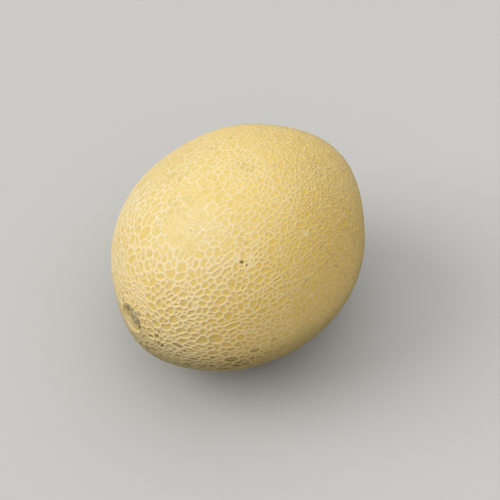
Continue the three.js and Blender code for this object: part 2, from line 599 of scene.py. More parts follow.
    def hull(self) -> None:
        """Joins the points into triangles. The ball is squeezed for it, so that cells come out long."""
        bpy.ops.object.mode_set(mode="EDIT")
        bpy.ops.mesh.select_all(action="SELECT")
        bpy.ops.transform.resize(value=(self.squeeze, 1, 1))
        bpy.ops.mesh.convex_hull(join_triangles=False)
        bpy.ops.transform.resize(value=(1 / self.squeeze, 1, 1))
        bpy.ops.object.mode_set(mode="OBJECT")

    def grow_cells(self) -> None:
        """Turns the points into coarse cells, one round each point, relaxed a little."""
        self.hull()
        fixed = np.zeros(len(self.rind.data.vertices), bool)
        for scar in self.body.scars:
            fixed |= self.body.distance(self.directions(), scar.toward) < scar.rings[-1][0] + MM
        for _ in range(self.relax_rounds):
            self.rind.data.vertices.foreach_set("select", ~fixed)
            bpy.ops.object.mode_set(mode="EDIT")
            bpy.ops.mesh.vertices_smooth(factor=self.smoothing)
            bpy.ops.object.mode_set(mode="OBJECT")
            self.onto_ball()
        self.hull()
        cells = bpy.data.node_groups.new("cells", "GeometryNodeTree")
        cells.interface.new_socket("Mesh", in_out="INPUT", socket_type="NodeSocketGeometry")
        cells.interface.new_socket("Mesh", in_out="OUTPUT", socket_type="NodeSocketGeometry")
        start = add_node(cells, "NodeGroupInput")
        dual = add_node(cells, "GeometryNodeDualMesh", {0: start.outputs[0]})
        add_node(cells, "NodeGroupOutput", {0: dual.outputs[0]})
        modifier = self.rind.modifiers.new("cells", "NODES")
        modifier.node_group = cells
        bpy.ops.object.modifier_apply(modifier=modifier.name)
        bpy.data.node_groups.remove(cells)

    def lay_on_spheroid(self) -> None:
        """Brings the cells from the ball to the melon's size, and marks each side as a first crack."""
        mesh = self.rind.data
        mesh.vertices.foreach_set("co", (self.directions() * self.body.half_axes).ravel())
        ages = mesh.attributes.new(AGE_LAYER, "INT", "EDGE")
        ages.data.foreach_set("value", np.full(len(mesh.edges), RidgeAge.FIRST.value))
        mesh.update()

    def draw_strays(self) -> tuple[tuple[np.ndarray, np.ndarray], ...]:
        """Draws where the other long cracks run: along the melon, here and there.

        Returns:
            For each crack, the directions where it starts and ends.
        """
        strays = []
        for _ in range(self.stray_tracks):
            along = self.draw.uniform(*self.stray_starts)
            turn = self.draw.uniform(0, 2 * math.pi)
            length = self.draw.uniform(*self.track_length) / self.body.half_length
            across = math.sqrt(1 - along**2)
            start = np.array((along, across * math.cos(turn), across * math.sin(turn)))
            drift = np.array([self.draw.gauss(0, self.stray_drift) for _ in range(3)])
            strays.append((start, unit(start + np.array((length, 0, 0)) + drift)))
        return tuple(strays)

    def draw_track(self, start: tuple[float, float, float], end: tuple[float, float, float]) -> None:
        """Cuts one long crack through the coarse cells. The new sides are the ones with no age yet.

        Args:
            start: the direction where it starts.
            end: the direction where it ends.
        """
        mesh = self.rind.data
        first, last = (Vector(unit(place) * self.body.half_axes) for place in (start, end))
        normal = first.cross(last).normalized()
        along = (last - first).normalized()
        bpy.ops.object.mode_set(mode="EDIT")
        bpy.ops.mesh.select_all(action="DESELECT")
        bpy.ops.mesh.select_mode(type="FACE")
        bpy.ops.object.mode_set(mode="OBJECT")
        for cell in mesh.polygons:
            beside = abs(cell.center.dot(normal)) < self.track_reach
            cell.select = beside and 0 < (cell.center - first).dot(along) < (last - first).length
        bpy.ops.object.mode_set(mode="EDIT")
        bpy.ops.mesh.bisect(plane_co=(0, 0, 0), plane_no=normal)
        bpy.ops.object.mode_set(mode="OBJECT")
        for age in mesh.attributes[AGE_LAYER].data:
            age.value = age.value or RidgeAge.TRACK.value

    def on_spheroid(self, point: Vector) -> Vector:
        """Moves a point straight out or in to the spheroid.

        Args:
            point: the point.

        Returns:
            The point of the spheroid in the same direction.
        """
        a, b = self.body.half_length, self.body.half_girth
        scale = math.sqrt((point.x / a) ** 2 + (point.y / b) ** 2 + (point.z / b) ** 2)
        return point / scale

    def direction_of(self, point: Vector) -> np.ndarray:
        """Gives the direction that a point of the spheroid is mapped from."""
        return unit(np.array(point) / self.body.half_axes)

    def cell_areas(self, directions: np.ndarray) -> np.ndarray:
        """Works out how large cells grow.

        Args:
            directions: unit directions, one a row.

        Returns:
            For each, the area past which a cell there cracks, in square metres.
        """
        areas = np.interp(directions[:, 0], *zip(*self.cell_along)) * MM**2
        turned_away = -(directions @ unit(self.shown_side))
        hidden = ease(np.clip(turned_away * self.hidden_steepness + self.hidden_lead, 0, 1))
        areas *= 1 + self.hidden_growth * hidden
        for zone in self.zones:
            areas *= 1 + zone.cell_growth * self.body.nearness(directions, zone)
        for scar in self.body.scars:
            near = self.body.nearness(directions, Spot(scar.toward, scar.crowding_reach))
            areas += (self.scar_cell - areas) * near
        return areas

    def crack(self, net: bmesh.types.BMesh) -> list[bmesh.types.BMFace]:
        """Cracks every cell across until it is no larger than cells are at its place.

        Args:
            net: the coarse cells.

        Returns:
            The cell in the middle of each scar, which stays whole.
        """
        ages = net.edges.layers.int[AGE_LAYER]
        net.faces.ensure_lookup_table()
        scar_cells = [self.cell_at(net, scar.toward) for scar in self.body.scars]
        waiting = [(cell, RidgeAge.SECOND) for cell in net.faces if cell not in scar_cells]
        while waiting:
            cell, age = waiting.pop()
            middle = cell.calc_center_median_weighted()
            limit = self.cell_areas(self.direction_of(middle)[None])[0]
            if cell.calc_area() < limit * math.exp(self.draw.gauss(0, self.cell_spread)):
                continue
            halves = self.crack_across(net, cell, ages, age)
            younger = RidgeAge(min(age.value + 1, RidgeAge.THIRD.value))
            waiting.extend((half, younger) for half in halves)
        return scar_cells

    def cell_at(self, net: bmesh.types.BMesh, toward: tuple[float, float, float]) -> bmesh.types.BMFace:
        """Finds the cell whose middle is nearest to a direction."""
        middle = Vector(unit(toward) * self.body.half_axes)
        return min(net.faces, key=lambda cell: (cell.calc_center_median_weighted() - middle).length)

    def stretch_at(self, point: Vector) -> tuple[Vector, float]:
        """Says which way cells are measured long, so that cracks tend to run the other way.

        Args:
            point: a point of the spheroid.

        Returns:
            The direction across the grain, and how much it counts for.
        """
        direction = self.direction_of(point)
        for scar in self.body.scars:
            if self.body.distance(direction, scar.toward) < scar.crowding_reach:
                away = point - Vector(unit(scar.toward) * self.body.half_axes)
                return away.normalized(), self.scar_grain
        across = Vector((1, 0, 0)).cross(point).normalized()
        return across, self.grain

    def crack_across(
        self,
        net: bmesh.types.BMesh,
        cell: bmesh.types.BMFace,
        ages: bmesh.types.BMLayerItem,
        age: RidgeAge,
    ) -> list[bmesh.types.BMFace]:
        """Cracks one cell in two.

        Args:
            net: the net. It is not used.
            cell: the cell.
            ages: the layer that marks each edge's age.
            age: what the crack is marked with.

        Returns:
            The two halves, or nothing if the crack found no room.
        """
        outward = cell.calc_center_median_weighted().normalized()
        ends = [self.open_side(loop, share) for loop, share in self.find_crack(cell)]
        if not ends:
            return []
        chord = ends[1].co - ends[0].co
        elbows = ()
        if chord.length > self.elbow_length:
            sideways = outward.cross(chord) * self.draw.gauss(0, self.elbow_bend)
            elbows = (self.on_spheroid((ends[0].co + ends[1].co) / 2 + sideways),)
        other, _ = bmesh.utils.face_split(cell, ends[0], ends[1], coords=elbows)
        for edge in other.edges:
            edge[ages] = edge[ages] or age.value
        return [cell, other]

    def find_crack(self, cell: bmesh.types.BMFace) -> list[tuple[bmesh.types.BMLoop, float]]:
        """Tries a few lines across a cell and keeps the one that leaves the roundest halves.

        Args:
            cell: the cell.

        Returns:
            The two sides that the crack meets, each as its loop and the share of the way along it, or
            nothing if every try leaves a sliver.
        """
        middle = cell.calc_center_median_weighted()
        across, weight = self.stretch_at(middle)
        along = middle.normalized().cross(across)
        loops = list(cell.loops)
        arms = [loop.vert.co - middle for loop in loops]
        outline = [Vector((arm.dot(across) * weight, arm.dot(along))) for arm in arms]
        following = outline[1:] + outline[:1]
        radius = max(point.length for point in outline)
        best, best_roundness = [], self.least_roundness
        for _ in range(self.crack_tries):
            turn = self.draw.uniform(0, math.pi)
            offset = self.draw.gauss(0, self.crack_offset) * radius
            places = [point.dot(Vector((math.cos(turn), math.sin(turn)))) - offset for point in outline]
            places_after = places[1:] + places[:1]
            crossed = [i for i, place in enumerate(places) if place * places_after[i] < 0]
            if len(crossed) != 2:
                continue
            cuts = []
            for i in crossed:
                share = places[i] / (places[i] - places_after[i])
                margin = self.corner_margin / loops[i].edge.calc_length()
                cuts.append(min(max(share, margin), 1 - margin) if margin < 0.5 else round(share))
            i, j = crossed
            first = outline[i].lerp(following[i], cuts[0])
            last = outline[j].lerp(following[j], cuts[1])
            near_half = [first, *outline[i + 1:j + 1], last]
            far_half = [last, *outline[j + 1:], *outline[:i + 1], first]
            roundness = min(self.roundness(near_half), self.roundness(far_half))
            if roundness > best_roundness:
                best = [(loops[side], share) for side, share in zip(crossed, cuts)]
                best_roundness = roundness
        return best

    @staticmethod
    def roundness(outline: list[Vector]) -> float:
        """Compares an outline's area with that of a circle as long round.

        Args:
            outline: its corners in order.

        Returns:
            1 for a circle, and less for anything else.
        """
        pairs = list(zip(outline, outline[1:] + outline[:1]))
        area = sum(a.cross(b) for a, b in pairs) / 2
        around = sum((b - a).length for a, b in pairs)
        return 4 * math.pi * abs(area) / around**2

    @staticmethod
    def open_side(loop: bmesh.types.BMLoop, share: float) -> bmesh.types.BMVert:
        """Makes a corner where a crack meets a side, or takes the one that is there.

        Args:
            loop: the side, seen from its cell.
            share: how far along it the crack meets it, where 0 and 1 are its own corners.

        Returns:
            The corner.
        """
        if share <= 0:
            return loop.vert
        if share >= 1:
            return loop.link_loop_next.vert
        return bmesh.utils.edge_split(loop.edge, loop.vert, share)[1]

    def soften(self, net: bmesh.types.BMesh, scar_cells: list[bmesh.types.BMFace]) -> None:
        """Lets the corners settle, as crusts pull at each other, and makes the sides wander.

        Args:
            net: the cracked net.
            scar_cells: the scars' middle cells, which get corners close together all round.
        """
        kept = {edge for cell in scar_cells for edge in cell.edges}
        rims = {vertex for cell in scar_cells for vertex in cell.verts}
        free = [vertex for vertex in net.verts if vertex not in rims]
        for _ in range(self.settle_rounds):
            bmesh.ops.smooth_vert(
                net,
                verts=free,
                factor=self.smoothing,
                use_axis_x=True,
                use_axis_y=True,
                use_axis_z=True,
            )
            for vertex in free:
                vertex.co = self.on_spheroid(vertex.co)
        bmesh.ops.collapse(net, edges=[
            edge for edge in net.edges if edge.calc_length() < self.shortest_side and edge not in kept])
        sides = list(net.edges)
        middles = np.array([(edge.verts[0].co + edge.verts[1].co) / 2 for edge in sides])
        bold = self.half_widths(unit(middles / self.body.half_axes)) >= self.least_shouldered
        longest = np.where(bold, self.longest_bold_side, self.longest_side)
        long_sides = [edge for edge, limit in zip(sides, longest) if edge.calc_length() > limit]
        bmesh.ops.bisect_edges(net, edges=long_sides, cuts=1)
        for scar, cell in zip(self.body.scars, scar_cells):
            self.round_off(scar, cell)
            for edge in list(cell.edges):
                cuts = round(edge.calc_length() / self.scar_corner) - 1
                if cuts > 0:
                    bmesh.ops.bisect_edges(net, edges=[edge], cuts=cuts)
            self.round_off(scar, cell)
        for vertex in net.verts:
            drift = noise.noise_vector(vertex.co / self.wander_scale)
            vertex.co = self.on_spheroid(vertex.co + drift * self.wander)

    def round_off(self, scar: Scar, cell: bmesh.types.BMFace) -> None:
        """Draws a scar's middle cell into a circle at the scar's rim.

        Args:
            scar: the scar.
            cell: its middle cell.
        """
        middle = Vector(unit(scar.toward) * self.body.half_axes)
        for vertex in cell.verts:
            vertex.co = self.on_spheroid(middle + (vertex.co - middle).normalized() * scar.rim)

    def relief(self, directions: np.ndarray) -> np.ndarray:
        """Says how high the ridges stand.

        Args:
            directions: unit directions, one a row.

        Returns:
            A share of the boldest ridge's height for each.
        """
        share = np.interp(directions[:, 0], *zip(*self.relief_along))
        for zone in self.zones:
            share *= 1 + (zone.relief - 1) * self.body.nearness(directions, zone)
        return share

    def paleness(self, directions: np.ndarray) -> np.ndarray:
        """Says how pale the skin is.

        Args:
            directions: unit directions, one a row.

        Returns:
            For each, 0 for the skin's own colour, up to 1 for the palest.
        """
        pale = np.zeros(len(directions))
        for zone in self.zones:
            pale = np.maximum(pale, zone.paleness * self.body.nearness(directions, zone))
        return pale

    def half_widths(self, directions: np.ndarray) -> np.ndarray:
        """Says how broad the boldest ridges are: narrower round a scar, and where they lie low.

        Args:
            directions: unit directions, one a row.

        Returns:
            Half widths in metres.
        """
        widths = np.interp(directions[:, 0], *zip(*self.half_width_along)) * MM
        for scar in self.body.scars:
            near = self.body.nearness(directions, Spot(scar.toward, scar.crowding_reach))
            widths *= 1 - self.narrowing * near
        relief = self.relief(directions)
        return widths * np.minimum(1, self.low_width_share + self.width_by_relief * relief)

    def raise_ridges(self, net: bmesh.types.BMesh) -> None:
        """Gives each cell a shoulder, a foot and a floor inside its ridges.

        Args:
            net: the softened net. Its vertices are the crests.
        """
        ages = net.edges.layers.int[AGE_LAYER]
        heights, cork, pale, dirt_and_shade, _ = (net.verts.layers.float.new(name) for name in (
            HEIGHT_LAYER, CORK_LAYER, PALE_LAYER, DIRT_AND_SHADE_LAYER, SCAR_LAYER))
        net.verts.ensure_lookup_table()
        net.verts.index_update()
        directions = unit(np.array([vertex.co for vertex in net.verts]) / self.body.half_axes)
        relief, paleness = self.relief(directions), self.paleness(directions)
        boldest = self.half_widths(directions)
        half_widths = {}
        for edge in net.edges:
            start, end = edge.verts
            uneven = 1 + self.unevenness * noise.noise(start.co / self.uneven_scale)
            uneven *= WIDTH_SHARE[RidgeAge(edge[ages])] * self.draw.uniform(*self.width_spread)
            half_widths[edge] = uneven * (boldest[start.index] + boldest[end.index]) / 2
        for vertex in net.verts:
            share = np.mean([HEIGHT_SHARE[RidgeAge(edge[ages])] for edge in vertex.link_edges])
            vertex[heights] = self.boldest_height * share * relief[vertex.index]
            vertex[cork] = self.cork_left(vertex.co, paleness[vertex.index])
            vertex[pale] = paleness[vertex.index]
        for toward in self.all_specks():
            nearest = net.verts[int(np.argmax(directions @ toward))]
            nearest[dirt_and_shade] = self.draw.uniform(*self.speck_darkness)
        cells = list(net.faces)
        plans = [self.plan_cell(cell, half_widths, heights, pale) for cell in cells]
        bold = [np.mean([boldest[loop.vert.index] for loop in cell.loops]) for cell in cells]
        grime_and_shade = [self.grime_and_shade(cell) for cell in cells]
        healed = [self.healed(cell) for cell in cells]
        shoulder = (self.shoulder_reach, self.shoulder_height, self.shoulder_cork, self.least_shouldered)
        foot = (1.0, 0.0, 0.0, 0.0)
        for reach, rise, corky, least_bold in (shoulder, foot):
            chosen = [parts for parts in zip(cells, plans, grime_and_shade, healed, bold) if parts[4] >= least_bold]
            bmesh.ops.inset_individual(net, faces=[parts[0] for parts in chosen], thickness=NO_WIDTH)
            for cell, plan, cell_dirt_and_shade, crusted, _ in chosen:
                for loop, (crest, inward, height, paleness_here) in zip(cell.loops, plan):
                    loop.vert.co = crest + inward * reach
                    loop.vert[heights] = height * max(rise, self.healed_height * crusted)
                    loop.vert[cork] = max(corky, crusted) * self.cork_left(crest, paleness_here)
                    loop.vert[pale] = paleness_here
                    loop.vert[dirt_and_shade] = cell_dirt_and_shade * (1 - max(corky, crusted))
        for pit in self.cell_pits:
            self.sink_pit(net, cells, pit)

    def cork_left(self, point: Vector, paleness: float) -> float:
        """Says how much of a ridge's cork is left. Where the skin is pale, stretches have worn through.

        Args:
            point: a point of the spheroid, on the ridge's crest.
            paleness: how pale the skin is there.

        Returns:
            1 for whole cork, and less where it is worn.
        """
        patchy = self.wear_swing * paleness * noise.noise(point / self.wear_scale)
        worn = min(1.0, max(0.0, self.wear_by_paleness * paleness**2 + patchy))
        return 1 - self.worn_away * worn

    def healed(self, cell: bmesh.types.BMFace) -> float:
        """Says how far cork has grown over a cell's whole floor. Such cells lie a few together.

        Args:
            cell: the cell, before its ridges are raised.

        Returns:
            0 for bare skin, up to 1.
        """
        middle = cell.calc_center_median_weighted()
        direction = self.direction_of(middle)
        raised = noise.noise(middle / self.healed_scale) * self.healed_contrast - self.healed_rarity
        drawn = ease(np.clip(raised, 0, 1))
        drawn *= 1 - self.paleness(direction[None])[0]
        return float(max(drawn, *(self.body.nearness(direction, callus) for callus in self.calluses)))

    def sink_pit(self, net: bmesh.types.BMesh, cells: list[bmesh.types.BMFace], pit: Pit) -> None:
        """Sinks a hole into the floor of the nearest cell, darkened with painted shade on its floor and
        lip.

        Args:
            net: the net.
            cells: the floors of its cells.
            pit: the hole.
        """
        heights, dirt_and_shade = net.verts.layers.float[HEIGHT_LAYER], net.verts.layers.float[DIRT_AND_SHADE_LAYER]
        place = Vector(unit(pit.toward) * self.body.half_axes)
        cell = min(cells, key=lambda one: (one.calc_center_median() - place).length_squared)
        for vertex in cell.verts:
            vertex[heights] = -self.pit_lip_depth * pit.depth
            vertex[dirt_and_shade] = self.pit_lip_shade
        bmesh.ops.inset_individual(net, faces=[cell], thickness=NO_WIDTH)
        middle = cell.calc_center_median()
        for vertex in cell.verts:
            arm = vertex.co - middle
            vertex.co = middle + arm * min(self.widest_pit, pit.reach / 2 / arm.length)
            vertex[heights] = -pit.depth
            vertex[dirt_and_shade] = 1

    def all_specks(self) -> list[np.ndarray]:
        """Lists the directions of the dark specks: the ones that are known and some strays."""
        strays = [unit([self.draw.gauss(0, 1) for _ in range(3)]) for _ in range(self.stray_specks)]
        return [unit(speck) for speck in self.specks] + strays

    def grime_and_shade(self, cell: bmesh.types.BMFace) -> float:
        """Draws how dark a cell's floor is painted: soil near the stem and a little anywhere, and painted
        shade low down.

        Args:
            cell: the cell, before its ridges are raised.

        Returns:
            0 for clean, unshaded skin, up to 1.
        """
        direction = self.direction_of(cell.calc_center_median_weighted())
        near = max(float(self.body.nearness(direction, spot)) for spot in self.soiled_and_shaded)
        painted_shade_amount = self.painted_shade_amount * float(self.body.nearness(direction, self.painted_shade_spot))
        soil_and_shade = self.most_soil_and_shade * near * self.draw.random() ** 2
        return painted_shade_amount + soil_and_shade + self.stray_soil * self.draw.random() ** 3

    def plan_cell(
        self,
        cell: bmesh.types.BMFace,
        half_widths: dict[bmesh.types.BMEdge, float],
        heights: bmesh.types.BMLayerItem,
        pale: bmesh.types.BMLayerItem,
    ) -> list[tuple[Vector, Vector, float, float]]:
        """Works out how far the ridges round a cell come in from each of its corners.

        Args:
            cell: the cell.
            half_widths: each ridge's half width.
            heights: the layer that holds each crest's height.
            pale: the layer that holds how pale the skin is.

        Returns:
            For each corner, its place, the way from there to the ridge's foot, its height and paleness.
        """
        middle = cell.calc_center_median_weighted()
        outward = middle.normalized()
        east = outward.orthogonal().normalized()
        north = outward.cross(east)
        loops = list(cell.loops)
        arms = [loop.vert.co - middle for loop in loops]
        flat = [Vector((arm.dot(east), arm.dot(north))) for arm in arms]
        if sum(a.cross(b) for a, b in zip(flat, flat[1:] + flat[:1])) < 0:
            north = -north
            flat = [Vector((point.x, -point.y)) for point in flat]
        sides = [(after - point).normalized() for point, after in zip(flat, flat[1:] + flat[:1])]
        clear = [Vector((-side.y, side.x)) for side in sides]
        widths = [half_widths[loop.edge] for loop in loops]
        halfway = [(clear[i - 1] + clear[i]).normalized() for i in range(len(flat))]
        lean = self.inward_lean
        ways, reaches = [], []
        for i, point in enumerate(flat):
            way = (halfway[i] * (1 - lean) - point.normalized() * lean).normalized()
            reach = max(widths[k] / max(way.dot(clear[k]), self.least_slant) for k in (i, i - 1))
            reach *= 1 + self.corner_rounding * (1 - clear[i].dot(clear[i - 1]))
            ways.append(way)
            reaches.append(min(reach, self.deepest_share * point.length))
        self.clear_folds(flat, ways, halfway, reaches)
        corners = []
        for loop, way, reach in zip(loops, ways, reaches):
            inward = (east * way.x + north * way.y) * reach
            corners.append((loop.vert.co.copy(), inward, loop.vert[heights], loop.vert[pale]))
        return corners

    def clear_folds(
        self,
        flat: list[Vector],
        ways: list[Vector],
        halfway: list[Vector],
        reaches: list[float],
    ) -> None:
        """Draws ridges back where one would fold over its neighbour.

        Args:
            flat: the cell's corners, seen from outside, in order.
            ways: the way inward at each. These are changed.
            halfway: the way at each that halves its corner.
            reaches: how far each ridge comes in. These are changed.
        """
        for _ in range(self.fold_rounds):
            feet = [point + way * reach for point, way, reach in zip(flat, ways, reaches)]
            folded = set()
            for i, point in enumerate(flat):
                j = (i + 1) % len(flat)
                side, near, across = flat[j] - point, feet[i] - point, feet[j] - point
                back = (feet[j] - flat[j]).cross(feet[i] - flat[j])
                if min(side.cross(near), side.cross(across), across.cross(near), back) <= 0:
                    folded |= {i, j}
            if not folded:
                return
            for i in folded:
                ways[i] = halfway[i]
                reaches[i] *= self.drawn_back

    def fill_scar(self, net: bmesh.types.BMesh, cell: bmesh.types.BMFace, scar: Scar) -> None:
        """Works the floor of a scar in rings down to its middle: torn fibres, low rings and small holes.

        Args:
            net: the net.
            cell: the scar's floor, inside its rim.
            scar: the scar.
        """
        heights, cork, dirt_and_shade, scarred = (net.verts.layers.float[name] for name in (
            HEIGHT_LAYER, CORK_LAYER, DIRT_AND_SHADE_LAYER, SCAR_LAYER))
        middle = Vector(unit(scar.toward) * self.body.half_axes)
        outer = [loop.vert.co.copy() for loop in cell.loops]
        inner = []
        for ring in range(1, self.scar_rings):
            bmesh.ops.inset_individual(net, faces=[cell], thickness=NO_WIDTH)
            for loop, rim in zip(cell.loops, outer):
                loop.vert.co = self.on_spheroid(middle.lerp(rim, 1 - ring / self.scar_rings))
                inner.append(loop.vert)
        inner += bmesh.ops.poke(net, faces=[cell])["verts"]
        for vertex in inner:
            surface = self.scar_surface(vertex.co, scar)
            vertex[heights], vertex[cork], vertex[scarred], vertex[dirt_and_shade] = surface

    def scar_surface(self, point: Vector, scar: Scar) -> tuple[float, float, float, float]:
        """Describes one point of a scar: low folds round it, and the patch of torn fibre with its holes.

        Args:
            point: a point of the spheroid.
            scar: the scar that it is in.

        Returns:
            Its height above the scar's profile, how corky and how fibrous it is, and how dark it is
            painted with shade, in the gaps between fibres, the grooves between folds and the holes.
        """
        middle = Vector(unit(scar.toward) * self.body.half_axes)
        outward = middle.normalized()
        along = Vector(scar.patch_way)
        along = (along - outward * along.dot(outward)).normalized()
        across = outward.cross(along)
        away = point - Vector(unit(scar.patch_middle) * self.body.half_axes)
        u, v = away.dot(along), away.dot(across)
        edge = math.hypot(u / scar.patch_size[0], v / scar.patch_size[1])
        edge += self.raggedness * noise.noise(point / self.ragged_scale)
        fibrous = float(ease(np.clip((self.patch_edge - edge) / self.patch_fade, 0, 1)))
        combed = Vector((u / self.strand[0], v / self.strand[1], 0))
        strand = noise.fractal(combed, NOISE_FADE, NOISE_STEP, self.strand_layers)
        crumb = noise.fractal(point / self.crumb, NOISE_FADE, NOISE_STEP, self.crumb_layers)
        arm = point - middle
        turn = math.atan2(arm.dot(along), arm.dot(across))
        out = arm.length
        rounded = Vector((
            out / self.fold[0], math.cos(turn) * out / self.fold[1], math.sin(turn) * out / self.fold[1]))
        fold = 1 - min(1, self.fold_narrowness * abs(noise.noise(rounded)))
        height = self.strand_height * strand * fibrous + self.crumb_height * crumb
        height += self.fold_height * fold * (1 - fibrous)
        corky = max(fold, fibrous)
        # Painted shade: darker in the gaps between fibres, the grooves between folds and the holes
        gap = float(np.clip(self.gap_slope * strand - self.gap_start, 0, self.deepest_gap))
        hole = gap * fibrous + self.fold_groove_shade * (1 - fold) * (1 - fibrous)
        for pit in scar.pits:
            depth = 1 - (point - Vector(unit(pit.toward) * self.body.half_axes)).length / pit.reach
            depth = float(ease(np.clip(depth * self.pit_steepness, 0, 1)))
            height -= depth * pit.depth
            hole = max(hole, depth)
        return height, corky, fibrous, hole

    def dress(self, finish: "NettedRind") -> None:
        """Gives the rind its finish."""
        self.rind.data.materials.clear()
        self.rind.data.materials.append(finish.material())

    def wrap(self) -> None:
        """Wraps the finished net round the body and shades it."""
        mesh = self.rind.data
        flat = np.array([vertex.co for vertex in mesh.vertices])
        heights = np.zeros(len(mesh.vertices), np.float32)
        mesh.attributes[HEIGHT_LAYER].data.foreach_get("value", heights)
        points = self.body.wrap(unit(flat / self.body.half_axes), heights)
        mesh.vertices.foreach_set("co", points.ravel())
        mesh.update()
        bpy.ops.object.select_all(action="DESELECT")
        self.rind.select_set(True)
        bpy.context.view_layer.objects.active = self.rind
        bpy.ops.object.mode_set(mode="EDIT")
        bpy.ops.mesh.select_all(action="SELECT")
        bpy.ops.mesh.normals_make_consistent(inside=False)
        bpy.ops.object.mode_set(mode="OBJECT")
        bpy.ops.object.shade_smooth()
        weights = self.rind.modifiers.new("floors_stay_flat", "WEIGHTED_NORMAL")
        weights.mode = "FACE_AREA"
        bpy.ops.object.modifier_apply(modifier=weights.name)

    def lay_out_map(self) -> None:
        """Lays the rind out flat in two discs, the upper half and the lower."""
        mesh = self.rind.data
        points = np.array([vertex.co for vertex in mesh.vertices])
        points[:, 2] -= self.body.middle_height
        points = unit(points)
        layout = mesh.uv_layers.new(name=BAKE_MAP)
        for face in mesh.polygons:
            upper = face.center.z > self.body.middle_height
            middle = self.disc_radius + self.disc_margin
            if not upper:
                middle = 1 - middle
            for corner, vertex in zip(face.loop_indices, face.vertices):
                x, y, z = points[vertex]
                tilt = math.acos(max(-1.0, min(1.0, z if upper else -z)))
                turn = math.atan2(y, x if upper else -x)
                out = self.disc_radius * tilt / (math.pi / 2)
                layout.data[corner].uv = middle + out * math.cos(turn), middle + out * math.sin(turn)


@dataclass(frozen=True)
class Cover:
    """How one colour lies over another: the values where it starts and is full, and its most cover."""

    start: float
    end: float
    most: float = 1.0


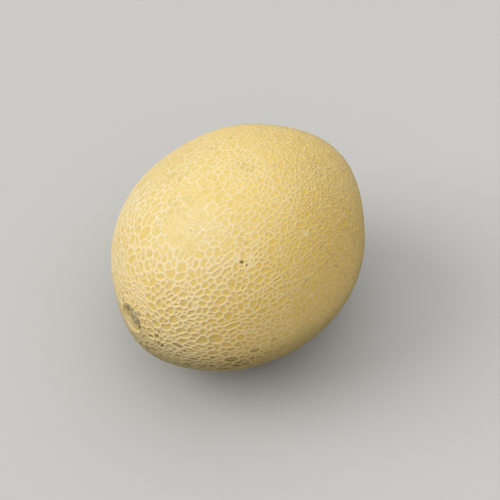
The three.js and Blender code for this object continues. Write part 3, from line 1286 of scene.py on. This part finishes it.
@dataclass(frozen=True)
class NettedRind:
    """Ripe netted rind, grown in the field: a thin waxy skin, with dry cork healed over its cracks.

    The wax gives the skin a broad soft shine. The cork is matt and grainy, paler than the skin, and
    yellower toward the blossom end, where it is thinner. Bare fibre in the scars is greyish brown.
    """

    skin_at_stem: str = "e2c36e"
    skin_at_blossom: str = "e9c868"
    # Painted warm shade for the cheek turned away from the key light
    cheek_painted_warm_shade: str = "e8be50"
    # Partly worn skin, partly a painted highlight where the key light's sheen falls
    pale_skin_and_sheen: str = "e2ca84"
    olive_skin: str = "bfa54e"
    cork_at_stem: str = "edd6a0"
    cork_at_blossom: str = "edd392"
    pale_cork: str = "efe2c0"
    # Painted shade: darker, greyer colours for the lower side and a dark olive for the underside
    low_skin_painted_shade: str = "9a8651"
    low_cork_painted_shade: str = "a49665"
    underside_painted_shade: str = "6e6136"
    worn_cork: str = "c9b27c"
    # Soil colour, also used for painted shade in holes, grooves and the low cells
    soil_and_shade: str = "544422"
    fibre: str = "c9b98f"
    dark_fibre: str = "978962"

    # By place on the melon: from end to end along X, painted warm shade round the cheek along Y, and
    # painted shade downward along Z
    lengthwise: Cover = Cover(-60 * MM, 60 * MM)
    skin_cheek_painted_shade: Cover = Cover(-22 * MM, -55 * MM, 0.45)
    cork_cheek_painted_shade: Cover = Cover(-28 * MM, -56 * MM, 0.22)
    low_painted_shade: Cover = Cover(84 * MM, 46 * MM, 0.6)
    skin_underside_painted_shade: Cover = Cover(76 * MM, 36 * MM, 0.45)
    cork_underside_painted_shade: Cover = Cover(74 * MM, 36 * MM, 0.4)

    # By pattern, or by what the mesh's layers say
    # Paler where the layer says: partly wear, partly a painted highlight
    palest_and_sheen: Cover = Cover(0, 1)
    olive_blotches: Cover = Cover(0.5, 0.75, 0.4)
    olive_mottles: Cover = Cover(0.45, 0.75, 0.22)
    hairline: Cover = Cover(0.09, 0.02)
    hairline_areas: Cover = Cover(0.35, 0.6, 0.45)
    worn_patches: Cover = Cover(0.5, 0.8, 0.55)
    cork_edge: Cover = Cover(0.12, 0.46)
    strands: Cover = Cover(0.42, 0.6)
    fibre_edge: Cover = Cover(0.15, 0.7)
    soil_and_shade_edge: Cover = Cover(0.4, 1.2, 0.85)

    # Sizes of the patterns
    blotch: float = 16 * MM
    mottle: float = 3.5 * MM
    cork_patch: float = 2.2 * MM
    grain: float = 0.55 * MM  # real cork's is half as wide, and too fine to show
    hairline_cell: float = 2.6 * MM
    fibre_width: float = 0.9 * MM  # real ones are thinner, and too fine to show
    fibre_turn: float = math.radians(45)
    fibre_stretch: float = 0.25  # of the pattern's scale, along the fibres
    pattern_detail: float = 2.5

    # Edges and surface
    ragged_cork: float = 0.22
    ragged_soil_and_shade: float = 0.5
    shine: float = 0.3
    skin_roughness: float = 0.48
    cork_roughness: float = 0.75
    skin_grain: float = 0.25
    cork_grain: float = 1.0
    grain_depth: float = 0.14 * MM

    def material(self) -> bpy.types.Material:
        """Builds the material.

        Returns:
            The node material.
        """
        made = bpy.data.materials.new("netted_melon_rind")
        made.use_nodes = True
        tree = made.node_tree
        tree.nodes.clear()
        place = add_node(tree, "ShaderNodeTexCoord").outputs["Object"]
        x, y, z = add_node(tree, "ShaderNodeSeparateXYZ", {0: place}).outputs
        cork, pale, dirt_and_shade, scar = (
            add_node(tree, "ShaderNodeAttribute", attribute_name=name).outputs["Fac"]
            for name in (CORK_LAYER, PALE_LAYER, DIRT_AND_SHADE_LAYER, SCAR_LAYER))
        torn = add_node(tree, "ShaderNodeMapping", {
            "Vector": place,
            "Rotation": (self.fibre_turn, 0, 0),
            "Scale": (1, self.fibre_stretch, 1),
        }).outputs[0]
        blotches, mottles, patches, grains, strands = (
            add_node(tree, "ShaderNodeTexNoise", {
                "Vector": where,
                "Scale": 1 / size,
                "Detail": self.pattern_detail,
            }).outputs["Fac"]
            for where, size in (
                (place, self.blotch),
                (place, self.mottle),
                (place, self.cork_patch),
                (place, self.grain),
                (torn, self.fibre_width),
            ))
        hairlines = add_node(
            tree, "ShaderNodeTexVoronoi", {"Vector": place, "Scale": 1 / self.hairline_cell},
            feature="DISTANCE_TO_EDGE").outputs["Distance"]

        skin = self.coat(tree, self.skin_at_stem, self.skin_at_blossom, x, self.lengthwise)
        # Paler skin: partly worn, partly a painted highlight
        skin = self.coat(tree, skin, self.pale_skin_and_sheen, pale, self.palest_and_sheen)
        skin = self.coat(tree, skin, self.olive_skin, blotches, self.olive_blotches)
        skin = self.coat(tree, skin, self.olive_skin, mottles, self.olive_mottles)
        cracked = self.coat(tree, skin, self.pale_cork, hairlines, self.hairline)
        skin = self.coat(tree, skin, cracked, blotches, self.hairline_areas)
        # Painted warm shade round the cheek
        skin = self.coat(tree, skin, self.cheek_painted_warm_shade, y, self.skin_cheek_painted_shade)
        # Painted shade: darker and greyer toward the bottom, then dark olive on the underside
        skin = self.coat(tree, skin, self.low_skin_painted_shade, z, self.low_painted_shade)
        skin = self.coat(tree, skin, self.underside_painted_shade, z, self.skin_underside_painted_shade)

        crust = self.coat(tree, self.cork_at_stem, self.cork_at_blossom, x, self.lengthwise)
        # Paler cork: partly worn, partly a painted highlight
        crust = self.coat(tree, crust, self.pale_cork, pale, self.palest_and_sheen)
        crust = self.coat(tree, crust, self.worn_cork, patches, self.worn_patches)
        # Painted shade, darker and greyer toward the bottom
        crust = self.coat(tree, crust, self.low_cork_painted_shade, z, self.low_painted_shade)
        # Painted warm shade round the cheek
        crust = self.coat(tree, crust, self.cheek_painted_warm_shade, y, self.cork_cheek_painted_shade)
        # Painted shade on the underside
        crust = self.coat(tree, crust, self.underside_painted_shade, z, self.cork_underside_painted_shade)

        ragged, soiled_and_shaded = (
            add_node(tree, "ShaderNodeMath", {
                0: pattern,
                1: share,
                2: layer,
            }, operation="MULTIPLY_ADD").outputs[0]
            for pattern, share, layer in (
                (grains, self.ragged_cork, cork),
                (patches, self.ragged_soil_and_shade, dirt_and_shade),
            ))
        colour = self.coat(tree, skin, crust, ragged, self.cork_edge)
        fibres = self.coat(tree, self.dark_fibre, self.fibre, strands, self.strands)
        colour = self.coat(tree, colour, fibres, scar, self.fibre_edge)
        # Soil and specks, and painted shade in holes, grooves and the low cells
        colour = self.coat(tree, colour, self.soil_and_shade, soiled_and_shaded, self.soil_and_shade_edge)

        roughness, graininess = (
            add_node(tree, "ShaderNodeMapRange", {
                "Value": ragged,
                "From Min": self.cork_edge.start,
                "From Max": self.cork_edge.end,
                "To Min": on_skin,
                "To Max": on_cork,
            }, interpolation_type="SMOOTHSTEP").outputs[0]
            for on_skin, on_cork in (
                (self.skin_roughness, self.cork_roughness),
                (self.skin_grain, self.cork_grain),
            ))
        raised = add_node(tree, "ShaderNodeMath", {0: grains, 1: graininess}, operation="MULTIPLY")
        bump = add_node(tree, "ShaderNodeBump", {
            "Height": raised.outputs[0],
            "Distance": self.grain_depth,
        })
        shader = add_node(tree, "ShaderNodeBsdfPrincipled", {
            "Base Color": colour,
            "Roughness": roughness,
            "Normal": bump.outputs[0],
            "Specular IOR Level": self.shine,
        })
        add_node(tree, "ShaderNodeOutputMaterial", {"Surface": shader.outputs[0]})
        return made

    @staticmethod
    def coat(
        tree: bpy.types.NodeTree,
        under: bpy.types.NodeSocket | str,
        paint: bpy.types.NodeSocket | str,
        value: bpy.types.NodeSocket,
        cover: Cover,
    ) -> bpy.types.NodeSocket:
        """Lays one colour over another.

        Args:
            tree: the material's node tree.
            under: the colour underneath, as a socket or as six hex digits.
            paint: the colour laid over it, likewise.
            value: what decides where it lies.
            cover: where it starts, where it is full and how much it covers.

        Returns:
            The colour of both.
        """
        share = add_node(tree, "ShaderNodeMapRange", {
            "Value": value,
            "From Min": cover.start,
            "From Max": cover.end,
            "To Max": cover.most,
        }, interpolation_type="SMOOTHSTEP").outputs[0]
        below, above = (linear(one) if isinstance(one, str) else one for one in (under, paint))
        mixed = add_node(
            tree, "ShaderNodeMix", {"Factor": share, 6: below, 7: above}, data_type="RGBA")
        return mixed.outputs[2]


@dataclass(frozen=True)
class MattPaint:
    """Pale matt wall paint, rolled on smooth board: even in colour, and too dull to mirror the melon."""

    colour: str = "bebdba"
    roughness: float = 0.9

    def material(self) -> bpy.types.Material:
        """Builds the material.

        Returns:
            The node material.
        """
        made = bpy.data.materials.new("matt_white_paint")
        made.use_nodes = True
        shader = made.node_tree.nodes["Principled BSDF"]
        shader.inputs["Base Color"].default_value = linear(self.colour)
        shader.inputs["Roughness"].default_value = self.roughness
        return made


@dataclass
class Studio:
    """The plain pale floor, the soft light and the camera."""

    body: Body
    floor_size: float = 12.0
    azimuth: float = -45.6
    elevation: float = 53.4
    distance: float = 1.0
    metres_per_pixel: float = 0.6 * MM
    frame_pixels: int = 500
    melon_pixel: tuple[float, float] = (237.63, 247.5)
    key_toward: tuple[float, float, float] = (-0.76, 0.36, 0.55)
    key_angle: float = 40
    key_strength: float = 1.32
    sky_colour: str = "ffffff"
    low_sky: float = 0.08
    high_sky: float = 1.66
    sky_rise: float = 2.0  # power of the height by which the sky grows brighter
    nearest_shown: float = 0.05

    def build(self) -> None:
        """Makes the floor, the lights and the camera."""
        bpy.context.scene.view_settings.view_transform = "Standard"
        self.add_floor()
        self.add_lights()
        self.add_camera()

    def camera_axes(self) -> Matrix:
        """Works out which way the camera looks.

        Returns:
            Its right, up and back directions, as the columns of a matrix.
        """
        turn, tilt = math.radians(self.azimuth), math.radians(self.elevation)
        back = Vector((math.sin(turn) * math.cos(tilt), -math.cos(turn) * math.cos(tilt), math.sin(tilt)))
        right = Vector((math.cos(turn), math.sin(turn), 0))
        return Matrix((right, back.cross(right), back)).transposed()

    def add_floor(self) -> None:
        """Lays the floor, wide enough to fill every view."""
        bpy.ops.object.select_all(action="DESELECT")
        bpy.ops.mesh.primitive_plane_add(size=self.floor_size)
        floor = bpy.context.object
        floor.name = "studio_floor"
        floor.data.materials.append(MattPaint().material())
        log.info("%s: %.0f m across", floor.name, self.floor_size)

    def add_lights(self) -> None:
        """Hangs a large soft key light up and to the camera's left, with a pale room round it."""
        world = bpy.data.worlds.new("studio")
        bpy.context.scene.world = world
        world.use_nodes = True
        tree = world.node_tree
        direction = add_node(tree, "ShaderNodeTexCoord")
        height = add_node(tree, "ShaderNodeSeparateXYZ", {0: direction.outputs["Generated"]})
        raised = add_node(tree, "ShaderNodeMapRange", {"Value": height.outputs["Z"]})
        eased = add_node(
            tree, "ShaderNodeMath", {0: raised.outputs[0], 1: self.sky_rise}, operation="POWER")
        strength = add_node(tree, "ShaderNodeMapRange", {
            "Value": eased.outputs[0],
            "To Min": self.low_sky,
            "To Max": self.high_sky,
        })
        background = tree.nodes["Background"]
        background.inputs["Color"].default_value = linear(self.sky_colour)
        tree.links.new(strength.outputs[0], background.inputs["Strength"])
        middle = Vector((0, 0, self.body.middle_height))
        toward = (self.camera_axes() @ Vector(self.key_toward)).normalized()
        bpy.ops.object.light_add(type="SUN", location=middle + toward)
        key = bpy.context.object
        key.name = "key_light"
        key.data.angle = math.radians(self.key_angle)
        key.data.energy = self.key_strength
        key.rotation_euler = toward.to_track_quat("Z", "Y").to_euler()
        log.info("%s: %.0f degrees wide", key.name, self.key_angle)

    def add_camera(self) -> None:
        """Sets the camera where the photograph was taken from."""
        axes = self.camera_axes()
        across = (self.melon_pixel[0] - self.frame_pixels / 2) * self.metres_per_pixel
        down = (self.melon_pixel[1] - self.frame_pixels / 2) * self.metres_per_pixel
        middle = Vector((0, 0, self.body.middle_height))
        place = middle + axes @ Vector((-across, down, self.distance))
        bpy.ops.object.camera_add(location=place, rotation=axes.to_euler())
        camera = bpy.context.object
        shown_width = self.frame_pixels * self.metres_per_pixel
        camera.data.lens = camera.data.sensor_width * self.distance / shown_width
        camera.data.clip_start = self.nearest_shown
        bpy.context.scene.camera = camera


def main() -> None:
    """Builds the melon and its studio, and reports each piece."""
    logging.basicConfig(level=logging.INFO)
    body = melon_body(*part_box("melon"))
    net = CorkNet(body)
    rind = net.build()
    net.dress(NettedRind())
    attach(rind, "root")
    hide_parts("melon")
    log.info("%s: %d corners, %d faces", rind.name, len(rind.data.vertices), len(rind.data.polygons))
    Studio(body).build()


if __name__ == "__main__":
    main()
